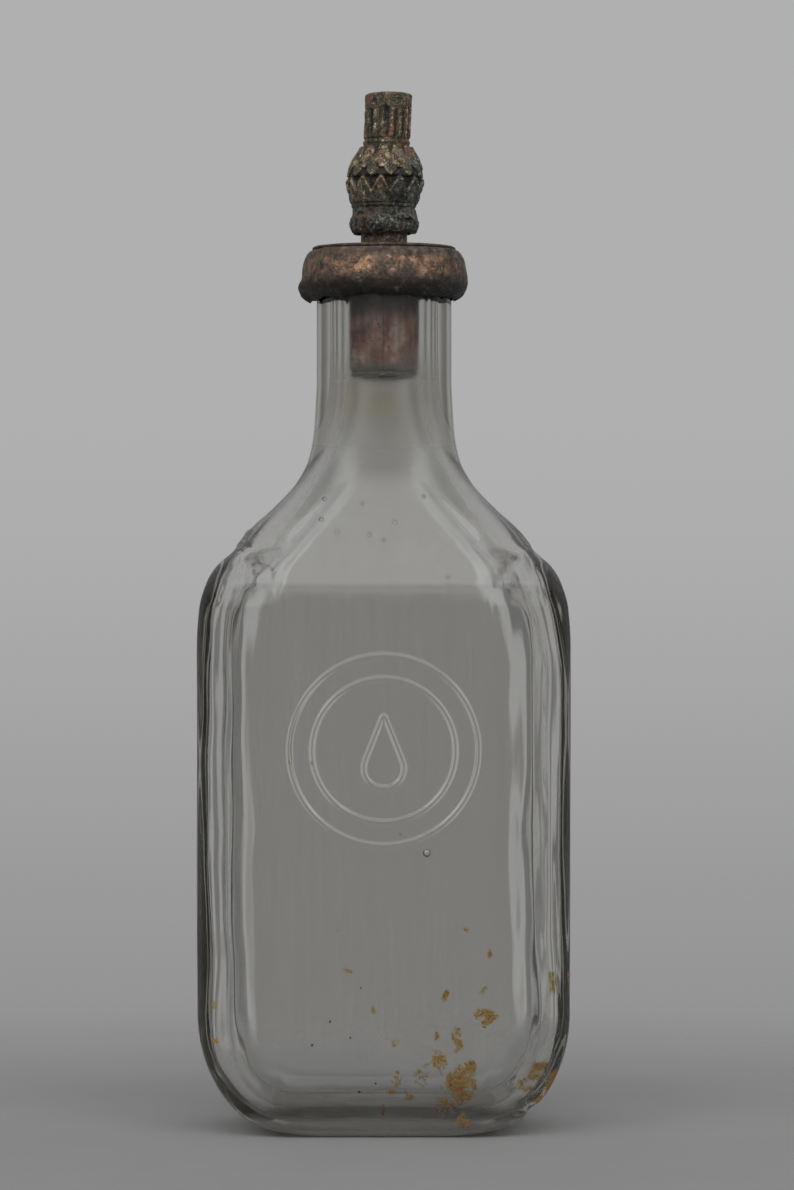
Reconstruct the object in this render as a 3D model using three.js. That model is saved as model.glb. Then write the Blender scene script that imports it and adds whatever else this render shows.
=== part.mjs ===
// Glass oil bottle with a cork-lined pouring stopper and an ornamental screw cap.
// Millimetres, +Z up along the bottle's axis, origin at the centre of its base, front face towards -Y.
import * as THREE from "three";
import { mergeGeometries } from "three/addons/utils/BufferGeometryUtils.js";

// ---- Driving dimensions -------------------------------------------------------------------------
const BODY = { halfWidth: 40, halfDepth: 23, shoulderZ: 112 };
const HEEL = { cornerWidth: 20.9, cornerHeight: 26, faceRadius: 4 };
const BEVEL = { width: 13, depth: 10, power: 1.45 }; // the corner is |u|^power + |v|^power = 1
const NECK = { outer: 14.6, bore: 7.75, lip: 14.75, lipZ: 180.8, topZ: 187.6 };
const WALL = { side: 3.6, floor: 5.2 };
const RECESS = { radius: 13, depth: 0.9 };
const CORK = { top: 7.65, bottom: 7.5, startZ: 163.1 };
const COLLAR = { thickness: 0.55, topZ: 189.4, bottomZ: 178.9 };
const PLATE = { radius: 15.6, thickness: 0.7 };
const TUBE = { outer: 3, bore: 1.6, orifice: 0.8, startZ: 161.5 };
const NIPPLE = { radius: 5, topZ: 202 };
const THREAD = {
  pitch: 1.6, depth: 0.7, clearance: 0.2, startZ: 194.5, turns: 3, segments: 36,
  rootShare: 0.42, crestShare: 0.22, // flat parts of the thread's profile, as shares of the pitch
  runOut: 0.15, // turns over which the rib grows to its full height at either end
};
const CAP = { bottomZ: 193.2, equatorZ: 204.5, stemZ: 211.4, topZ: 223.8, skin: 0.75 };
const STEM = { radius: 5.15, flutes: 16, fluteDepth: 0.35, wall: 0.85 };
const LEAVES = 12;
const VENT = 1; // radius of the casting vent in the roof of the cap's bush
const FIT = 0.1; // clearance between pieces that touch
const SEGMENTS = 48;

// ---- Colours -------------------------------------------------------------------------------------
const paint = (color, roughness, metalness, extra = {}) =>
  new THREE.MeshStandardMaterial({ color, roughness, metalness, ...extra });
const glass = paint(0xb9bcb4, 0.06, 0, { transparent: true, opacity: 0.35 });
const copper = paint(0x7a4a30, 0.55, 0.9);
const brass = paint(0x6e5a32, 0.5, 0.9);
const cork = paint(0x8a6550, 0.9, 0);
const leather = paint(0x4a3526, 0.8, 0);

// ---- Helpers -------------------------------------------------------------------------------------
// A smooth value at z through [z, value] stations, without overshoot between them.
function along(stations, z) {
  const last = stations.length - 1;
  if (z <= stations[0][0]) return stations[0][1];
  if (z >= stations[last][0]) return stations[last][1];
  const i = stations.findIndex(([height]) => height > z) - 1;
  const slope = (k) => (stations[k + 1][1] - stations[k][1]) / (stations[k + 1][0] - stations[k][0]);
  const tangent = (k) => {
    if (k === 0 || k === last) return slope(Math.min(k, last - 1));
    const [before, after] = [slope(k - 1), slope(k)];
    return before * after <= 0 ? 0 : (2 * before * after) / (before + after);
  };
  const span = stations[i + 1][0] - stations[i][0];
  const t = (z - stations[i][0]) / span;
  const [t2, t3] = [t * t, t * t * t];
  return (
    stations[i][1] * (2 * t3 - 3 * t2 + 1) + tangent(i) * span * (t3 - 2 * t2 + t) +
    stations[i + 1][1] * (3 * t2 - 2 * t3) + tangent(i + 1) * span * (t3 - t2)
  );
}

// One closed ring of points at height z: a rectangle whose corners are superellipse arcs.
function bevelledRing(z, halfWidth, halfDepth, cornerWidth, cornerDepth, power, steps = 8) {
  const points = [];
  for (let quarter = 0; quarter < 4; quarter++)
    for (let step = 0; step <= steps; step++) {
      const t = ((quarter % 2 ? steps - step : step) / steps) * (Math.PI / 2);
      const u = halfWidth - cornerWidth + cornerWidth * Math.abs(Math.cos(t)) ** (2 / power);
      const v = halfDepth - cornerDepth + cornerDepth * Math.abs(Math.sin(t)) ** (2 / power);
      const [sx, sy] = [[1, 1], [-1, 1], [-1, -1], [1, -1]][quarter];
      points.push(new THREE.Vector3(sx * u, sy * v, z));
    }
  return points;
}

// A round ring whose radius may depend on the angle.
function roundRing(z, radius, segments = SEGMENTS) {
  const at = typeof radius === "function" ? radius : () => radius;
  return Array.from({ length: segments }, (_, i) => {
    const angle = (i / segments) * 2 * Math.PI;
    return new THREE.Vector3(at(angle) * Math.cos(angle), at(angle) * Math.sin(angle), z);
  });
}

// A skin through rings with equal point counts. Its ends are fanned shut, joined together, or left open.
function skin(rings, { looped = false, open = false } = {}) {
  const positions = [];
  const face = (...corners) => corners.forEach((p) => positions.push(p.x, p.y, p.z));
  const count = rings[0].length;
  const bands = looped ? rings.length : rings.length - 1;
  for (let k = 0; k < bands; k++) {
    const [low, high] = [rings[k], rings[(k + 1) % rings.length]];
    for (let i = 0; i < count; i++) {
      const j = (i + 1) % count;
      face(low[i], low[j], high[j]);
      face(low[i], high[j], high[i]);
    }
  }
  if (!looped && !open) {
    const middle = (ring) => ring.reduce((sum, p) => sum.add(p), new THREE.Vector3()).divideScalar(count);
    const [first, final] = [rings[0], rings[rings.length - 1]];
    const [bottom, top] = [middle(first), middle(final)];
    for (let i = 0; i < count; i++) {
      const j = (i + 1) % count;
      face(bottom, first[j], first[i]);
      face(top, final[i], final[j]);
    }
  }
  const attribute = new THREE.Float32BufferAttribute(positions, 3);
  return new THREE.BufferGeometry().setAttribute("position", attribute);
}

// A body of revolution about Z from [radius, z] corners, counter-clockwise in the r-z plane. Corners that
// start on the axis also end there; all others close on themselves.
function turned(corners, segments = SEGMENTS) {
  const closing = corners[0][0] > 0 ? [corners[0]] : [];
  const outline = [...corners, ...closing].map(([r, z]) => new THREE.Vector2(r, z));
  return new THREE.LatheGeometry(outline, segments).rotateX(Math.PI / 2);
}

// A turned body with a helical thread in its wall. Rings `below` and `above` (radius, z) continue the wall
// past the thread and round the body; between them is a grid whose columns climb one pitch a turn.
function threaded({ below, above, root, crest, startZ, turns, inside = false }) {
  const { segments, pitch, rootShare, crestShare, runOut } = THREAD;
  const flank = (1 - rootShare - crestShare) / 2;
  const profile = [[root, 0], [root, rootShare], [crest, rootShare + flank], [crest, 1 - flank]];
  const steps = profile.length;
  const rows = turns * steps + 1;
  const column = (c) => Array.from({ length: rows }, (_, row) => {
    const [radius, share] = profile[row % steps];
    const turn = c / segments + Math.floor(row / steps);
    const height = Math.max(0, Math.min(1, turn / runOut, (turns - 1 / segments - turn) / runOut));
    const reach = root + (radius - root) * height;
    const angle = (c / segments) * 2 * Math.PI;
    const z = startZ + pitch * (turn + share);
    return new THREE.Vector3(reach * Math.cos(angle), reach * Math.sin(angle), z);
  });
  const columns = Array.from({ length: segments }, (_, c) => column(c));
  const rings = (list) => list.map(([radius, z]) => roundRing(z, radius, segments));
  const [lower, upper] = [rings(below), rings(above)];
  const [foot, head] = [lower[lower.length - 1], upper[0]];
  const faces = [];
  const fan = (centre, line) => line.slice(1).forEach((p, i) => faces.push([centre, line[i], p]));
  const strip = (left, right) => left.slice(1).forEach((p, i) => {
    faces.push([left[i], right[i], right[i + 1]], [left[i], right[i + 1], p]);
  });
  for (let c = 0; c < segments - 1; c++)
    strip([foot[c], ...columns[c], head[c]], [foot[c + 1], ...columns[c + 1], head[c + 1]]);
  const [first, final] = [columns[0], columns[segments - 1]];
  strip(final.slice(0, rows - steps), first.slice(steps));
  fan(foot[segments - 1], [foot[0], ...first.slice(0, steps + 1), final[0]]);
  fan(head[0], [head[segments - 1], ...final.slice(rows - steps - 1).reverse(), first[rows - 1]]);
  const around = [...upper, ...lower];
  const ends = skin(around, { open: true });
  const thread = new THREE.BufferGeometry().setAttribute(
    "position", new THREE.Float32BufferAttribute(faces.flat().flatMap((p) => [p.x, p.y, p.z]), 3));
  const whole = mergeGeometries([thread, ends]);
  return inside ? flipped(whole) : whole;
}

// The same triangles facing the other way.
function flipped(geometry) {
  const { array } = geometry.attributes.position;
  for (let i = 0; i < array.length; i += 9) {
    const second = array.slice(i + 3, i + 6);
    array.copyWithin(i + 3, i + 6, i + 9);
    array.set(second, i + 6);
  }
  return geometry;
}

const part = new THREE.Group();
function add(name, geometry, material) {
  const mesh = new THREE.Mesh(geometry, material);
  mesh.name = name;
  part.add(mesh);
}

// ---- Glass bottle --------------------------------------------------------------------------------
const outerWidth = [
  [HEEL.cornerHeight, 39.9], [60, BODY.halfWidth], [104, BODY.halfWidth], [BODY.shoulderZ, 39.5],
  [117.6, 37.9], [121, 35.9], [124.9, 31.7], [127.4, 30.2], [129, 28.8], [133.9, 23.5], [139, 18.9],
  [144, 16.3], [150, 15.1], [160, NECK.outer],
];
const outerDepth = [
  [HEEL.faceRadius, BODY.halfDepth], [114, BODY.halfDepth], [119, 22.2], [124, 20.3], [130, 17.9],
  [137, 15.8], [143, 14.8], [152, NECK.outer],
];
const FLAT_MIN = 0.1; // half of the smallest flat left between two corners on the round neck
const bevelWidth = [
  [0, 9], [20, BEVEL.width], [116, BEVEL.width], [123, 10.4], [134, 9.6], [142, 12],
  [152, NECK.outer - FLAT_MIN],
];
const bevelDepth = [
  [0, 8], [8, BEVEL.depth], [118, BEVEL.depth], [136, 9.6], [144, 12], [152, NECK.outer - FLAT_MIN],
];
const bevelPower = [[0, BEVEL.power], [126, BEVEL.power], [138, 1.7], [152, 2]];

// Quarter-ellipse heel: how much a dimension has grown at height z, from 0 at the base to 1 at full size.
const heelShare = (z, height) => Math.sqrt(1 - (1 - Math.min(1, z / height)) ** 2);

function outerRing(z) {
  const width = z < HEEL.cornerHeight
    ? BODY.halfWidth - 0.1 - HEEL.cornerWidth * (1 - heelShare(z, HEEL.cornerHeight))
    : along(outerWidth, z);
  const depth = along(outerDepth, z) - HEEL.faceRadius * (1 - heelShare(z, HEEL.faceRadius));
  const cornerWidth = Math.min(along(bevelWidth, z), width - FLAT_MIN);
  const cornerDepth = Math.min(along(bevelDepth, z), depth - FLAT_MIN);
  return bevelledRing(z, width, depth, cornerWidth, cornerDepth, along(bevelPower, z));
}

const FLOOR_RADIUS = { width: 21, depth: 6 }; // heights over which the inside widens from the floor
const innerWidth = [
  [WALL.floor + FLOOR_RADIUS.width, BODY.halfWidth - WALL.side], [100, BODY.halfWidth - WALL.side],
  [110, 35.4], [116, 33.2], [121, 29.8], [126, 25.2], [133, 18.8], [139, 14.2], [145, 11.2], [151, 9.2],
  [157, 8.1], [162, NECK.bore],
];
const innerDepth = [
  [WALL.floor + FLOOR_RADIUS.depth, BODY.halfDepth - WALL.side], [108, BODY.halfDepth - WALL.side],
  [116, 18], [124, 15.2], [134, 11.9], [144, 9.5], [152, 8.4], [162, NECK.bore],
];
const innerCorner = [[0, 11], [110, 13], [126, 11], [138, 10], [150, 8.4], [162, NECK.bore - FLAT_MIN]];
const INNER_POWER = 1.8;

function innerRing(z) {
  const rise = z - WALL.floor;
  const width = rise < FLOOR_RADIUS.width
    ? BODY.halfWidth - WALL.side - 20 * (1 - heelShare(rise, FLOOR_RADIUS.width))
    : along(innerWidth, z);
  const depth = along(innerDepth, z) - FLOOR_RADIUS.depth * (1 - heelShare(rise, FLOOR_RADIUS.depth));
  const corner = along(innerCorner, z);
  const cornerWidth = Math.min(corner, width - FLAT_MIN);
  const cornerDepth = Math.min(corner, depth - FLAT_MIN);
  return bevelledRing(z, width, depth, cornerWidth, cornerDepth, z > 150 ? 2 : INNER_POWER);
}

function glassBottle() {
  const outerHeights = [
    0, 0.3, 1, 2.2, 4, 6.5, 9.5, 13, 17, 21.5, 26, 60, 104, 110, 114, 117, 119.5, 122, 124.5, 126,
    127.2, 128.2, 130, 132.5, 135.5, 138.5, 141.5, 145, 150, 156, 164, NECK.lipZ,
  ];
  const innerHeights = [
    162, 157, 152, 147.5, 143.5, 140, 136.5, 133, 129.5, 126, 122.5, 119, 115.5, 112, 107, 96, 60,
    26.2, 21.5, 17, 13, 10, 7.8, 6.3, 5.5, WALL.floor,
  ];
  const round = (z, r) => bevelledRing(z, r, r, r - FLAT_MIN, r - FLAT_MIN, 2);
  const lip = [
    [NECK.lipZ + 0.8, NECK.lip], [NECK.topZ - 1, NECK.lip], [NECK.topZ, NECK.outer - 0.4],
    [NECK.topZ, NECK.bore + 0.5], [NECK.topZ - 0.6, NECK.bore], [170, NECK.bore],
  ].map(([z, r]) => round(z, r));
  const recess = [
    [RECESS.depth, 3], [RECESS.depth * 0.8, 9], [0, RECESS.radius],
  ].map(([z, r]) => round(z, r));
  return skin([...recess, ...outerHeights.map(outerRing), ...lip, ...innerHeights.map(innerRing)]);
}
add("glass_bottle", glassBottle(), glass);

// ---- Stopper -------------------------------------------------------------------------------------
add("base_washer", turned([
  [TUBE.outer + FIT, 162.2], [7.1, 162.2], [7.3, 162.6], [7.3, 163], [TUBE.outer + FIT, 163],
]), brass);

const corkTop = NECK.topZ + 1.05;
add("cork_sleeve", turned([
  [TUBE.outer + FIT, CORK.startZ], [CORK.bottom - 0.4, CORK.startZ], [CORK.bottom, CORK.startZ + 0.5],
  [CORK.top, corkTop], [TUBE.outer + FIT, corkTop],
]), cork);

add("lip_gasket", turned([
  [CORK.top + FIT, NECK.topZ + 0.05], [NECK.outer - 0.6, NECK.topZ + 0.05],
  [NECK.outer - 0.6, corkTop], [CORK.top + FIT, corkTop],
]), leather);

// The spun collar hangs over the lip as a bulged skirt and closes in under it.
const skirt = [
  [15.3, 0], [16.4, 0.45], [17.3, 1.2], [17.95, 2.3], [18.2, 3.5], [18.1, 4.9], [17.85, 6.3], [17.6, 7.7],
  [17.2, 8.9], [16.5, 9.9], [15.6, COLLAR.topZ - COLLAR.bottomZ],
].map(([r, height]) => [r, COLLAR.bottomZ + height]);
const innerSkirt = skirt.slice(0, -2).reverse().map(([r, z]) => [r - COLLAR.thickness, z]);
add("collar_shell", turned([
  ...skirt, [TUBE.outer + FIT, COLLAR.topZ], [TUBE.outer + FIT, COLLAR.topZ - COLLAR.thickness],
  [15.2, COLLAR.topZ - COLLAR.thickness], ...innerSkirt,
]), copper);

const plateZ = COLLAR.topZ + 0.05;
const plateTop = plateZ + PLATE.thickness;
add("top_plate", turned([
  [TUBE.outer + FIT, plateZ], [PLATE.radius - 0.2, plateZ], [PLATE.radius, plateZ + 0.2],
  [PLATE.radius, plateTop - 0.2], [PLATE.radius - 0.3, plateTop], [TUBE.outer + FIT, plateTop],
]), brass);

function spoutTube() {
  const shoulderZ = plateTop + 0.05;
  const root = NIPPLE.radius - THREAD.depth;
  return threaded({
    below: [
      [TUBE.bore, TUBE.startZ], [4.4, TUBE.startZ], [4.7, TUBE.startZ + 0.3], [TUBE.outer, 162.15],
      [TUBE.outer, shoulderZ], [NIPPLE.radius, shoulderZ], [NIPPLE.radius, 193.8], [root, 194.1],
    ],
    above: [
      [root, NIPPLE.topZ - 0.3], [root - 0.3, NIPPLE.topZ], [TUBE.orifice, NIPPLE.topZ],
      [TUBE.orifice, NIPPLE.topZ - 1.5], [TUBE.bore, NIPPLE.topZ - 2.3],
    ],
    root,
    crest: NIPPLE.radius,
    startZ: THREAD.startZ,
    turns: THREAD.turns,
  });
}
add("spout_tube", spoutTube(), brass);

// ---- Screw cap -----------------------------------------------------------------------------------
const nutRoot = NIPPLE.radius + THREAD.clearance;
const webZ = NIPPLE.topZ + 1.2;
const LINER_RADIUS = 4.8;
const [linerBottom, linerTop] = [NIPPLE.topZ + 0.05, webZ - 0.05];
add("cap_liner", turned([
  [0, linerBottom], [LINER_RADIUS, linerBottom], [LINER_RADIUS, linerTop], [0, linerTop],
]), leather);

// The nut's rib runs in the groove of the nipple's thread, so it starts half a pitch higher.
function capBush() {
  const outer = 6.05;
  return threaded({
    below: [[outer, webZ + 0.8], [outer, CAP.bottomZ + 0.6], [nutRoot, CAP.bottomZ + 0.6]],
    above: [[nutRoot, webZ], [VENT, webZ], [VENT, webZ + 0.8]],
    root: nutRoot,
    crest: nutRoot - THREAD.depth,
    startZ: THREAD.startZ + THREAD.pitch / 2,
    turns: THREAD.turns - 1,
    inside: true,
  });
}
add("cap_bush", capBush(), brass);

const cupOutline = [
  [6.9, CAP.bottomZ], [7.35, 193.9], [7.55, 195], [7.4, 196.2], [7, 197.2], [6.85, 198.1], [7.15, 199.2],
  [7.6, 200.6], [7.75, 202], [8, 203.2], [8.2, CAP.equatorZ - 0.1],
];
const cupInside = cupOutline.map(([r, z]) => [Math.max(6.15, r - CAP.skin - 0.25), z]).reverse();
add("cap_cup", turned([...cupOutline, ...cupInside]), brass);

// Overlapping leaves: the shell swells along each leaf's middle.
function leafShell() {
  const outline = [
    [8.35, CAP.equatorZ], [8.1, 205.8], [7.6, 207.1], [7.05, 208.4], [6.35, 209.7], [5.65, 210.7],
    [5.3, 211.3],
  ];
  const leaf = (r) => (angle) => r - 0.3 * Math.abs(Math.sin((angle * LEAVES) / 2));
  const outside = outline.map(([r, z]) => roundRing(z, leaf(r), 72));
  const inside = outline.map(([r, z]) => roundRing(z, Math.max(4.3, r - CAP.skin - 0.3), 72)).reverse();
  return skin([...outside, ...inside], { looped: true });
}
add("cap_leaf_shell", leafShell(), brass);

// Fluted tube, open below and closed by a domed end.
function flutedStem() {
  const { radius, wall, flutes, fluteDepth } = STEM;
  const fluted = (r, share) => (angle) => r - share * fluteDepth * (0.5 - 0.5 * Math.cos(angle * flutes));
  const hollow = radius - wall - 0.1;
  const rings = [
    [CAP.topZ - 1.3, hollow, 0], [CAP.stemZ, hollow, 0], [CAP.stemZ, radius - 0.05, 1],
    [CAP.stemZ + 1, radius, 1], [CAP.topZ - 2.4, radius, 1], [CAP.topZ - 1.5, radius, 0.2],
    [CAP.topZ - 0.9, radius - 0.15, 0], [CAP.topZ - 0.4, radius - 0.9, 0],
    [CAP.topZ - 0.1, radius - 2.2, 0], [CAP.topZ, radius - 4, 0],
  ].map(([z, r, share]) => roundRing(z, fluted(r, share), flutes * 4));
  return skin(rings);
}
add("cap_stem", flutedStem(), brass);

export default part;
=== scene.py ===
import math
import bmesh
import bpy
import numpy as np
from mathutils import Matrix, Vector, noise


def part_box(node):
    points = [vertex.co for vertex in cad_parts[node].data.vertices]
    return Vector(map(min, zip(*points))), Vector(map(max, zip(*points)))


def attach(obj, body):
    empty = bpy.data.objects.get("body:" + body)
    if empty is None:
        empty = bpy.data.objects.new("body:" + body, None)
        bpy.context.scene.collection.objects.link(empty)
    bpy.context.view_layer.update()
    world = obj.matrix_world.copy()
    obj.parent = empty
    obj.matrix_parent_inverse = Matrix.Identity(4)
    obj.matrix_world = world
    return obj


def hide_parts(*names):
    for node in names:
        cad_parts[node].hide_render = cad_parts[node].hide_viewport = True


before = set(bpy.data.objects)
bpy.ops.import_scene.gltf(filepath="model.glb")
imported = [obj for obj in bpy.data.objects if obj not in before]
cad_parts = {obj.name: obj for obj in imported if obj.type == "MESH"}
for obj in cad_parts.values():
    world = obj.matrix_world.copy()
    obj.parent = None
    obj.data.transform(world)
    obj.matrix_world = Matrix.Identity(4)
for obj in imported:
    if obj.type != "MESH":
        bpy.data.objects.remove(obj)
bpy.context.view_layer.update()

MM = 0.001
TAU = 2 * math.pi

# --------------------------------------------------------------------------------------------------
# Small shading language: helpers that add nodes and return an output socket.
# --------------------------------------------------------------------------------------------------


class Shade:
    """The node tree of a material or of the world. mm is the place on the object, in millimetres."""

    def __init__(self, owner, output):
        self.owner = owner
        owner.use_nodes = True
        self.tree = owner.node_tree
        self.tree.nodes.clear()
        self.out = self.node(output)
        self.coord = self.node("ShaderNodeTexCoord")
        self.mm = self.vmath("SCALE", self.coord.outputs["Object"], scale=1 / MM)

    def node(self, kind):
        return self.tree.nodes.new(kind)

    def feed(self, socket, value):
        if isinstance(value, bpy.types.NodeSocket):
            self.tree.links.new(value, socket)
        elif socket.type == "RGBA" and len(value) == 3:
            socket.default_value = (*value, 1.0)
        else:
            socket.default_value = value

    def vmath(self, op, a, b=None, scale=None):
        n = self.node("ShaderNodeVectorMath")
        n.operation = op
        self.feed(n.inputs[0], a)
        if b is not None:
            self.feed(n.inputs[1], b)
        if scale is not None:
            n.inputs["Scale"].default_value = scale
        return n.outputs["Value" if op == "DISTANCE" else "Vector"]

    def combine(self, x, y):
        n = self.node("ShaderNodeCombineXYZ")
        self.feed(n.inputs[0], x)
        self.feed(n.inputs[1], y)
        return n.outputs[0]

    def math(self, op, a, b=None, c=None, clamp=False):
        n = self.node("ShaderNodeMath")
        n.operation = op
        n.use_clamp = clamp
        for i, v in enumerate((a, b, c)):
            if v is not None:
                self.feed(n.inputs[i], v)
        return n.outputs[0]

    def times(self, a, b):
        return self.math("MULTIPLY", a, b)

    def plus(self, a, b, clamp=False):
        return self.math("ADD", a, b, clamp=clamp)

    def minus(self, a, b, clamp=False):
        return self.math("SUBTRACT", a, b, clamp=clamp)

    def most(self, a, b):
        return self.math("MAXIMUM", a, b)

    def xyz(self, vector=None):
        n = self.node("ShaderNodeSeparateXYZ")
        self.feed(n.inputs[0], self.mm if vector is None else vector)
        return n.outputs[0], n.outputs[1], n.outputs[2]

    def noise(self, scale, detail=3.0, rough=0.55, stretch=None, distort=0.0, shift=0.0):
        n = self.node("ShaderNodeTexNoise")
        v = self.mm
        if stretch:
            v = self.vmath("MULTIPLY", v, stretch)
        if shift:
            v = self.vmath("ADD", v, (shift, shift * 0.7, -shift))
        self.feed(n.inputs["Vector"], v)
        n.inputs["Scale"].default_value = scale
        n.inputs["Detail"].default_value = detail
        n.inputs["Roughness"].default_value = rough
        n.inputs["Distortion"].default_value = distort
        return n.outputs["Fac"]

    def voronoi(self, scale):
        n = self.node("ShaderNodeTexVoronoi")
        self.feed(n.inputs["Vector"], self.mm)
        n.inputs["Scale"].default_value = scale
        return n.outputs["Distance"]

    def span(self, x, a, b, lo=0.0, hi=1.0):
        """A smooth step from lo at x = a to hi at x = b."""
        n = self.node("ShaderNodeMapRange")
        n.interpolation_type = "SMOOTHSTEP"
        self.feed(n.inputs["Value"], x)
        for key, v in (("From Min", a), ("From Max", b), ("To Min", lo), ("To Max", hi)):
            n.inputs[key].default_value = v
        return n.outputs["Result"]

    def between(self, x, a, b, soft):
        """1 from x = a to x = b and 0 outside, with both edges softened."""
        rise = self.span(x, a - soft, a + soft)
        fall = self.span(x, b - soft, b + soft, 1.0, 0.0)
        return self.times(rise, fall)

    def ramp(self, fac, stops):
        n = self.node("ShaderNodeValToRGB")
        self.feed(n.inputs[0], fac)
        elements = n.color_ramp.elements
        while len(elements) < len(stops):
            elements.new(0.5)
        for e, (pos, col) in zip(elements, stops):
            e.position = pos
            e.color = (*col, 1.0)
        return n.outputs["Color"]

    def mix(self, fac, a, b):
        n = self.node("ShaderNodeMix")
        n.data_type = "RGBA"
        n.clamp_factor = True
        self.feed(n.inputs["Factor"], fac)
        self.feed(n.inputs[6], a)
        self.feed(n.inputs[7], b)
        return n.outputs[2]

    def attribute(self, name):
        n = self.node("ShaderNodeAttribute")
        n.attribute_name = name
        return n.outputs["Fac"]

    def bump(self, height, strength, distance):
        n = self.node("ShaderNodeBump")
        n.inputs["Strength"].default_value = strength
        n.inputs["Distance"].default_value = distance
        self.feed(n.inputs["Height"], height)
        return n.outputs["Normal"]

    def principled(self, **values):
        n = self.node("ShaderNodeBsdfPrincipled")
        for key, v in values.items():
            self.feed(n.inputs[key.replace("_", " ")], v)
        return n.outputs["BSDF"]

    def finish(self, shader, volume=None):
        self.tree.links.new(shader, self.out.inputs["Surface"])
        if volume is not None:
            self.tree.links.new(volume, self.out.inputs["Volume"])
        return self.owner


def new_material(name):
    return Shade(bpy.data.materials.new(name), "ShaderNodeOutputMaterial")


# --------------------------------------------------------------------------------------------------
# Geometry helpers. Shapes are worked out in millimetres and turned into metres when a mesh is made.
# --------------------------------------------------------------------------------------------------


def grid_object(name, grid, mat, closed=True, caps=(False, False), marks=None):
    """A skin over grid[level, column, xyz]. closed joins the last level to the first; caps fan an end shut.

    marks holds named values for every grid point, which materials read as attributes.
    """
    levels, columns = grid.shape[:2]
    verts = grid.reshape(-1, 3) * MM
    k = np.arange(levels if closed else levels - 1)
    i = np.arange(columns)
    kk, ii = np.meshgrid(k, i, indexing="ij")
    a = kk * columns + ii
    b = kk * columns + (ii + 1) % columns
    c = ((kk + 1) % levels) * columns + (ii + 1) % columns
    d = ((kk + 1) % levels) * columns + ii
    faces = np.stack([a, b, c, d], -1).reshape(-1, 4).tolist()
    verts = verts.tolist()
    if caps[0]:
        verts.append(np.mean(verts[:columns], axis=0).tolist())
        faces += [[len(verts) - 1, (j + 1) % columns, j] for j in range(columns)]
    if caps[1]:
        last = (levels - 1) * columns
        verts.append(np.mean(verts[last:last + columns], axis=0).tolist())
        faces += [[len(verts) - 1, last + j, last + (j + 1) % columns] for j in range(columns)]
    mesh = bpy.data.meshes.new(name)
    mesh.from_pydata(verts, [], faces)
    mesh.validate()
    mesh.polygons.foreach_set("use_smooth", [True] * len(mesh.polygons))
    for key, values in (marks or {}).items():
        padded = np.zeros(len(mesh.vertices), dtype=np.float32)
        padded[:values.size] = values.reshape(-1)
        mesh.attributes.new(key, "FLOAT", "POINT").data.foreach_set("value", padded)
    obj = bpy.data.objects.new(name, mesh)
    bpy.context.scene.collection.objects.link(obj)
    mesh.materials.append(mat)
    return obj


def smoothstep(x, a, b):
    """0 at x = a, 1 at x = b."""
    t = np.clip((x - a) / (b - a), 0, 1)
    return t * t * (3 - 2 * t)


def hump(x, middle, width):
    """A smooth bump: 1 at the middle, almost 0 at two widths from it."""
    return np.exp(-((x - middle) / width) ** 2)


def pchip(stations, z):
    """Smooth values without overshoot, through (z, value) stations."""
    zs, vs = np.array(stations, float).T
    h, s = np.diff(zs), np.diff(vs) / np.diff(zs)
    m = np.empty_like(vs)
    m[0], m[-1] = s[0], s[-1]
    same = s[:-1] * s[1:] > 0
    with np.errstate(divide="ignore", invalid="ignore"):
        m[1:-1] = np.where(same, 2 * s[:-1] * s[1:] / (s[:-1] + s[1:]), 0)
    z = np.clip(np.asarray(z, float), zs[0], zs[-1])
    i = np.clip(np.searchsorted(zs, z, side="right") - 1, 0, len(h) - 1)
    t = (z - zs[i]) / h[i]
    t2, t3 = t * t, t * t * t
    return (vs[i] * (2 * t3 - 3 * t2 + 1) + m[i] * h[i] * (t3 - 2 * t2 + t)
            + vs[i + 1] * (3 * t2 - 2 * t3) + m[i + 1] * h[i] * (t3 - t2))


def fbm(points, scale, octaves=3, seed=0.0):
    """Fractal noise at an array of points (mm), about -1 to 1."""
    flat = points.reshape(-1, 3)
    out = np.zeros(len(flat))
    gain = 1.0
    for o in range(octaves):
        f = scale * 2 ** o
        shift = Vector((seed + 7.3 * o, seed * 1.7, -seed + 3.1 * o))
        out += gain * np.array([noise.noise(Vector(p) * f + shift) for p in flat])
        gain *= 0.5
    return out.reshape(points.shape[:-1])


def place(obj, body, node):
    """Let a piece ride on a body and stand in for a CAD node."""
    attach(obj, body)
    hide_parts(node)


# --------------------------------------------------------------------------------------------------
# The glass bottle
# --------------------------------------------------------------------------------------------------

# Stations (z, size) of the bottle's skins in mm. W and D are half the width and half the depth; BEVEL and
# INNER_C are how far the corner reaches in from them, and BEVEL_P is the power of its curve.
OUTER_W = [
    (26, 39.9), (60, 40), (104, 40), (112, 39.5), (117.6, 37.9), (121, 35.9), (124.9, 31.7),
    (127.4, 30.2), (129, 28.8), (133.9, 23.5), (139, 18.9), (144, 16.35), (150, 15.2), (160, 14.6),
]
OUTER_D = [
    (4, 23), (114.5, 23), (117, 22.8), (120, 21.8), (124, 20.3), (130, 17.9), (137, 15.8), (143, 14.9),
    (152, 14.6),
]
BEVEL_W = [(26, 16.4), (112, 16.4), (118, 14), (123, 11), (134, 9.6), (142, 12), (152, 14.5)]
BEVEL_D = [(26, 10), (118, 10), (136, 9.6), (144, 12), (152, 14.5)]
BEVEL_P = [(0, 1.45), (126, 1.45), (138, 1.7), (152, 2)]
INNER_W = [
    (26, 36.4), (100, 36.4), (110, 35.6), (116, 33.6), (121, 30.4), (126, 25.6), (133, 18.8),
    (139, 14.2), (145, 11.2), (151, 9.2), (156, 8.3), (161, 7.86), (167, 7.75),
]
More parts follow.
